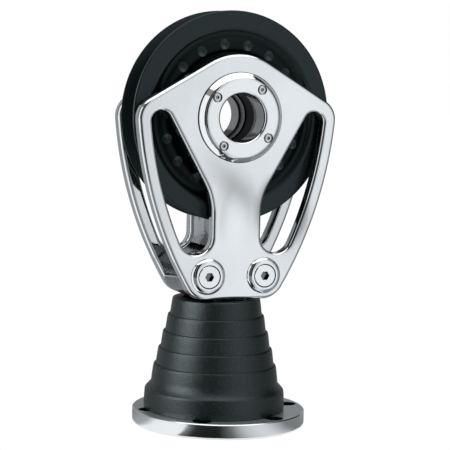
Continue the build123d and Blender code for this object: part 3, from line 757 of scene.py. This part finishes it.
def make_plate(node):
    """Side plate with finely rounded edges: the outline of the CAD plate half way through
    its thickness, swept round both rims."""
    low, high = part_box(node)
    middle_y = (low.y + high.y) / 2
    half = (high.y - low.y) / 2
    shape = middle_outline(node, middle_y)

    # Each vertex keeps its direction into the metal, and later its surface normal
    inward = shape.verts.layers.float_vector.new("inward")
    facing = shape.verts.layers.float_vector.new("facing")
    loops = outline_loops(shape)
    outer = max(loops, key=lambda loop: abs(turned_area(loop)))
    for loop in loops:
        if (turned_area(loop) > 0) != (loop is outer):
            loop.reverse()
        for before, vert, after in zip(loop[-1:] + loop[:-1], loop, loop[1:] + loop[:1]):
            run = after.co - before.co
            vert[inward] = Vector((-run.z, 0, run.x)).normalized()
            vert[facing] = -vert[inward]
    rims = shape.edges[:]
    for side in (-1, 1):
        edges = rims
        last_inset = 0
        for step in range(edge_steps + 1):
            around = pi / 2 * step / edge_steps
            sweep = bmesh.ops.extrude_edge_only(shape, edges=edges)["geom"]
            edges = [item for item in sweep if isinstance(item, bmesh.types.BMEdge)]
            height = half - edge_round * (1 - sin(around))
            inset = edge_round * (1 - cos(around))
            for vert in [item for item in sweep if isinstance(item, bmesh.types.BMVert)]:
                vert.co += vert[inward] * (inset - last_inset)
                vert.co.y = middle_y + side * height
                vert[facing] = -vert[inward] * cos(around) + Vector((0, side * sin(around), 0))
            last_inset = inset
        bmesh.ops.triangle_fill(shape, edges=edges, use_beauty=True, normal=(0, side, 0))
    bmesh.ops.recalc_face_normals(shape, faces=shape.faces)
    plate = make_object(node + "_rounded", shape)
    smooth(plate)
    plate.data.normals_split_custom_set_from_vertices(
        [item.vector for item in plate.data.attributes["facing"].data])
    dress(plate, plate_finish)
    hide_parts(node)
    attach(plate, "head")


for plate_node in ("front_plate", "rear_plate"):
    make_plate(plate_node)


def make_floor():
    """Pale floor, plain white to the camera and in reflections."""
    shape = bmesh.new()
    bmesh.ops.create_grid(shape, x_segments=1, y_segments=1, size=floor_half_size)
    floor = make_object("floor", shape)
    paint = new_paint("floor_white")
    pale = paint.node("ShaderNodeBsdfDiffuse", {"Color": rgb(0.80, 0.80, 0.80)})
    white = paint.node("ShaderNodeEmission", {"Color": rgb(1, 1, 1), "Strength": 1.02})
    ray = paint.node("ShaderNodeLightPath")
    seen = ray.out("Is Camera Ray").math("MAXIMUM", ray.out("Is Glossy Ray"))
    dress(floor, paint.surface(paint.mix_shader(seen, pale.out("BSDF"),
                                                white.out("Emission"))))
    return floor


def make_world():
    """World that the camera sees white, reflections see grey and all else sees dim."""
    world = bpy.data.worlds.new("studio")
    bpy.context.scene.world = world
    paint = Paint(world)
    ray = paint.node("ShaderNodeLightPath")
    strength = (ray.out("Is Camera Ray") * (world_seen - world_fill)
                + ray.out("Is Glossy Ray") * (world_mirrored - world_fill) + world_fill)
    backdrop = paint.node("ShaderNodeBackground", {"Color": rgb(1, 1, 1), "Strength": strength})
    paint.node("ShaderNodeOutputWorld", {"Surface": backdrop.out(0)})


def turn_to_object(place):
    """Turn that makes what hangs at a place face the object."""
    return (object_middle - place).to_track_quat("-Z", "Y")


def lamp(name, place, size, radiance, receivers=None):
    """Soft box that faces the object, and may light only some of it."""
    width, height = size
    data = bpy.data.lights.new(name, "AREA")
    data.shape = "RECTANGLE"
    data.size = width
    data.size_y = height
    data.energy = radiance * pi * width * height
    obj = bpy.data.objects.new(name, data)
    bpy.context.scene.collection.objects.link(obj)
    obj.location = place
    obj.rotation_mode = "QUATERNION"
    obj.rotation_quaternion = turn_to_object(place)
    obj.visible_camera = False
    if receivers:
        group = bpy.data.collections.new(name)
        for receiver in receivers:
            group.objects.link(receiver)
        obj.light_linking.receiver_collection = group


def reflection_only(obj, paint, colour=rgb(1, 1, 1)):
    """Let an object glow in reflections, unseen by the camera."""
    shader = paint.node("ShaderNodeEmission", {"Color": colour, "Strength": 1.0})
    dress(obj, paint.surface(shader.out("Emission")))
    obj.visible_camera = False
    obj.visible_diffuse = False
    obj.visible_shadow = False


def mirrored_panel(name, place, size):
    """White panel that faces the object and shows only in reflections."""
    shape = bmesh.new()
    bmesh.ops.create_grid(shape, x_segments=1, y_segments=1, size=0.5)
    bmesh.ops.scale(shape, vec=(*size, 1), verts=shape.verts)
    turn = turn_to_object(place).to_matrix().to_4x4()
    bmesh.ops.transform(shape, matrix=Matrix.Translation(place) @ turn, verts=shape.verts)
    reflection_only(make_object(name, shape), new_paint(name))


def glow(name, start, end, profile, stops):
    """Part of a ring round the object that only reflections see, from a (radius, height)
    profile. Its stops are brightnesses at angles in degrees to the right of the camera."""
    shape = bmesh.new()
    angle = radians(start) + camera_azimuth
    edge = [shape.verts.new((sin(angle) * radius, -cos(angle) * radius, height))
            for radius, height in profile]
    lines = [shape.edges.new(pair) for pair in zip(edge, edge[1:])]
    bmesh.ops.spin(shape, geom=edge + lines, cent=(0, 0, 0), axis=(0, 0, 1),
                   angle=radians(end - start), steps=ring_turns)
    obj = make_object(name, shape)

    paint = new_paint(name)
    x, y, _ = paint.parts(paint.place())
    facing = radians((start + end) / 2) + camera_azimuth
    ahead = x * sin(facing) - y * cos(facing)
    aside = x * cos(facing) + y * sin(facing)
    share = aside.math("ARCTAN2", ahead) / radians(end - start) + 0.5
    ramp = paint.node("ShaderNodeValToRGB", {"Fac": share}, stops=[
        ((angle - start) / (end - start), [tint * level for tint in cool_tint])
        for angle, level in stops])
    reflection_only(obj, paint, ramp.out("Color"))


def make_rings():
    """Floor and wall round the object that shape the reflections in polished steel."""
    # The rings leave a gap on the left, where the panel is mirrored
    gap_end, gap_start = -38, 273
    floor_height = 1 * mm
    near, middle, far = base_radius + 1 * mm, 180 * mm, 800 * mm
    low_top, high_top = 240 * mm, 1150 * mm
    left_wall_top = 100 * mm
    near_floor = (near, floor_height), (middle, floor_height)
    far_floor = (middle, floor_height), (far, floor_height)
    low_wall = (far, floor_height), (far, low_top)
    high_wall = (far, low_top), (far, high_top)

    # A dim wall stands in front on the left, lighter in its middle and on the floor before it
    dim_wall = ((-38, 0.006), (-29, 0.006), (-21, 0.11), (-9, 0.11), (-1, 0.006), (12, 0.006))
    dim_floor = ((-38, 0.24), (12, 0.24))
    bright_strip = ((15, 0.9), (19, 0.9), (21, 0.42), (33, 0.75))
    low_stops = bright_strip + (
        (46, 0.92), (62, 0.84), (77, 0.54), (86, 0.33), (98, 0.26), (112, 0.20), (140, 0.22),
        (149, 0.42), (155, 0.42), (161, 0.30), (170, 0.36), (178, 0.42), (185, 0.25),
        (210, 0.33), (273, 0.33))
    high_stops = bright_strip + (
        (46, 0.93), (62, 0.85), (77, 0.6), (86, 0.45), (98, 0.30), (104, 0.012), (165, 0.012),
        (185, 0.06), (206, 0.10), (212, 0.36), (234, 0.36), (242, 0.10), (273, 0.10))
    floor_stops = (
        (-38, 0.2), (-26, 0.01), (2, 0.01), (16, 0.14), (24, 0.38), (33, 0.6), (49, 0.78),
        (62, 0.76), (77, 0.50), (90, 0.27), (98, 0.22), (120, 0.24), (150, 0.30), (160, 0.30),
        (210, 0.2), (245, 0.38), (262, 0.42), (273, 0.8))
    glow("far_floor_ring", gap_end, gap_start, far_floor, dim_floor + low_stops)
    glow("low_ring", gap_end, gap_start, low_wall, dim_wall + low_stops)
    glow("high_ring", gap_end, gap_start, high_wall, dim_wall + high_stops)

    # What the base's edge mirrors on the floor near it lies at smaller angles
    nearness = 0.72

    def nearer(angle):
        return nearness * angle if angle < 180 else 360 - nearness * (360 - angle)

    glow("floor_ring", nearer(gap_end), nearer(gap_start), near_floor,
         [(nearer(angle), level) for angle, level in floor_stops])
    for name, share, profile in (
            ("left_floor_near", nearness, near_floor),
            ("left_floor_far", 1.0, far_floor + ((far, left_wall_top),))):
        ends = share * (gap_start - 360), share * gap_end
        glow(name, *ends, profile, [(angle, 1.0) for angle in ends])


def make_studio():
    """White floor and world, two soft boxes, and what only reflections see."""
    floor = make_floor()
    make_world()
    # The bright box lights the dark parts; polished steel mirrors a panel of plain white
    dark_slots = ("sheave_black", "race_black", "liner_plastic", "base_steel")
    dark_parts = [frame["nodes"][part["node"]] for part in frame["record"]["subparts"]
                  if part["material_slot"] in dark_slots]
    lamp("left_softbox", softbox_place, softbox_size, softbox_radiance,
         dark_parts + boot_shells + [floor])
    mirrored_panel("left_panel", softbox_place + panel_gap, softbox_size)
    lamp("top_softbox", top_softbox_place, top_softbox_size, top_softbox_radiance)
    make_rings()


make_studio()

bpy.context.scene.view_settings.view_transform = "Standard"
